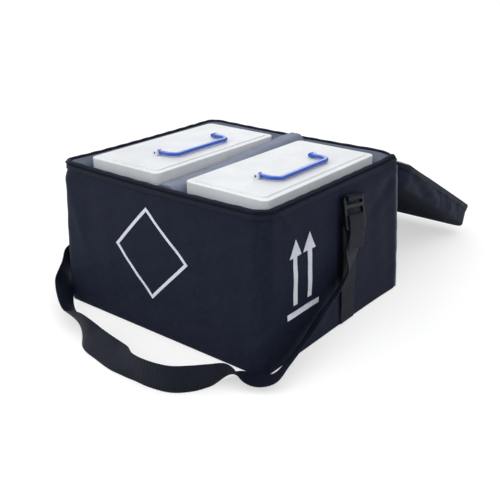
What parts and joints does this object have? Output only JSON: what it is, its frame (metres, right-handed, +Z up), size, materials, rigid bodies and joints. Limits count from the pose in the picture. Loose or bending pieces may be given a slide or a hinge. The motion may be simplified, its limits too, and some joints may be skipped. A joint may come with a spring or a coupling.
{
  "type": "specimen transport bag",
  "caption": "Soft padded carrying bag with its zipped cover hanging open behind, two lidded specimen boxes with folding handles, a divider and a shoulder strap on ladder-lock buckles.",
  "frame": {"origin": "middle of the bag's base, on the surface that it stands on", "axes": "+Z up; +X along the bag's width, from the zip slider's side to the side with the arrows; the front wall with the diamond faces -Y and the open cover lies towards +Y"},
  "size_m": [0.4765, 0.795, 0.245],
  "materials": {
    "outer_nylon": "coated nylon weave, dark navy",
    "lining_nylon": "smooth grey-blue lining cloth",
    "foam": "closed-cell foam, hidden",
    "binding": "folded tape",
    "zip": "woven zip tape and nylon coil",
    "webbing": "ribbed webbing",
    "box_plastic": "moulded plastic, pale grey",
    "lid_plastic": "moulded plastic, off-white",
    "handle_plastic": "moulded plastic, blue",
    "buckle_plastic": "moulded plastic, black",
    "slider_metal": "black enamel"
  },
  "bodies": {
    "bag": {"base_skin": "outer_nylon", "base_foam": "foam", "base_lining": "lining_nylon", "front_skin": "outer_nylon", "front_foam": "foam", "front_lining": "lining_nylon", "back_skin": "outer_nylon", "back_foam": "foam", "back_lining": "lining_nylon", "left_skin": "outer_nylon", "left_foam": "foam", "left_lining": "lining_nylon", "right_skin": "outer_nylon", "right_foam": "foam", "right_lining": "lining_nylon", "rim_binding": "binding", "left_seam_piping": "binding", "right_seam_piping": "binding", "bag_zip_tape": "zip", "bag_zip_coil": "zip", "divider": "lining_nylon", "cover_hinge_strip": "outer_nylon", "side_webbing_left": "webbing", "side_webbing_right": "webbing", "strap_front": "webbing"},
    "cover": {"cover_panel": "outer_nylon", "cover_foam": "foam", "cover_lining": "lining_nylon", "cover_skirt_front": "outer_nylon", "cover_skirt_back": "outer_nylon", "cover_skirt_left": "outer_nylon", "cover_skirt_right": "outer_nylon", "cover_skirt_lining": "lining_nylon", "cover_zip_tape": "zip", "cover_zip_coil": "zip"},
    "box_left": {"box_body_left": "box_plastic"},
    "box_right": {"box_body_right": "box_plastic"},
    "lid_left": {"box_lid_left": "lid_plastic", "lid_core_left": "foam", "handle_boss_left_front": "handle_plastic", "handle_boss_left_back": "handle_plastic"},
    "lid_right": {"box_lid_right": "lid_plastic", "lid_core_right": "foam", "handle_boss_right_front": "handle_plastic", "handle_boss_right_back": "handle_plastic"},
    "handle_left": {"handle_left": "handle_plastic"},
    "handle_right": {"handle_right": "handle_plastic"},
    "buckle_left": {"buckle_left": "buckle_plastic", "strap_tail_left": "webbing", "strap_run_left": "webbing"},
    "buckle_right": {"buckle_right": "buckle_plastic", "strap_tail_right": "webbing", "strap_run_right": "webbing"},
    "zip_slider": {"zip_slider": "slider_metal"},
    "zip_pull": {"zip_pull": "slider_metal"}
  },
  "joints": [
    {"name": "cover_hinge", "type": "hinge", "parent": "bag", "child": "cover", "pos_m": [0, 0.1846, 0.2217], "axis": [-1, 0, 0], "range_deg": [-207.68, 0], "deforming": ["cover_hinge_strip"]},
    {"name": "box_lift_left", "type": "slide", "parent": "bag", "child": "box_left", "axis": [0, 0, 1], "range_m": [0, 0.25]},
    {"name": "box_lift_right", "type": "slide", "parent": "bag", "child": "box_right", "axis": [0, 0, 1], "range_m": [0, 0.25]},
    {"name": "lid_lift_left", "type": "slide", "parent": "box_left", "child": "lid_left", "axis": [0, 0, 1], "range_m": [0, 0.15]},
    {"name": "lid_lift_right", "type": "slide", "parent": "box_right", "child": "lid_right", "axis": [0, 0, 1], "range_m": [0, 0.15]},
    {"name": "handle_swing_left", "type": "hinge", "parent": "lid_left", "child": "handle_left", "pos_m": [-0.079, 0, 0.2416], "axis": [0, -1, 0], "range_deg": [0, 180]},
    {"name": "handle_swing_right", "type": "hinge", "parent": "lid_right", "child": "handle_right", "pos_m": [0.1105, 0, 0.2416], "axis": [0, -1, 0], "range_deg": [0, 180]},
    {"name": "buckle_swing_left", "type": "hinge", "parent": "bag", "child": "buckle_left", "pos_m": [-0.19541, 0.027, 0.199], "axis": [-0.036, 0.9903, -0.1344], "range_deg": [0, 70], "deforming": ["strap_run_left"]},
    {"name": "buckle_swing_right", "type": "hinge", "parent": "bag", "child": "buckle_right", "pos_m": [0.19541, 0.027, 0.199], "axis": [-0.036, -0.9903, 0.1344], "range_deg": [0, 70], "deforming": ["strap_run_right"]},
    {"name": "zip_slider_travel", "type": "slide", "parent": "bag", "child": "zip_slider", "axis": [0, -1, 0], "range_m": [0, 0.25]},
    {"name": "zip_pull_flip", "type": "hinge", "parent": "zip_slider", "child": "zip_pull", "pos_m": [-0.1962, 0.118, 0.2226], "axis": [0, 1, 0], "range_deg": [0, 120]}
  ]
}
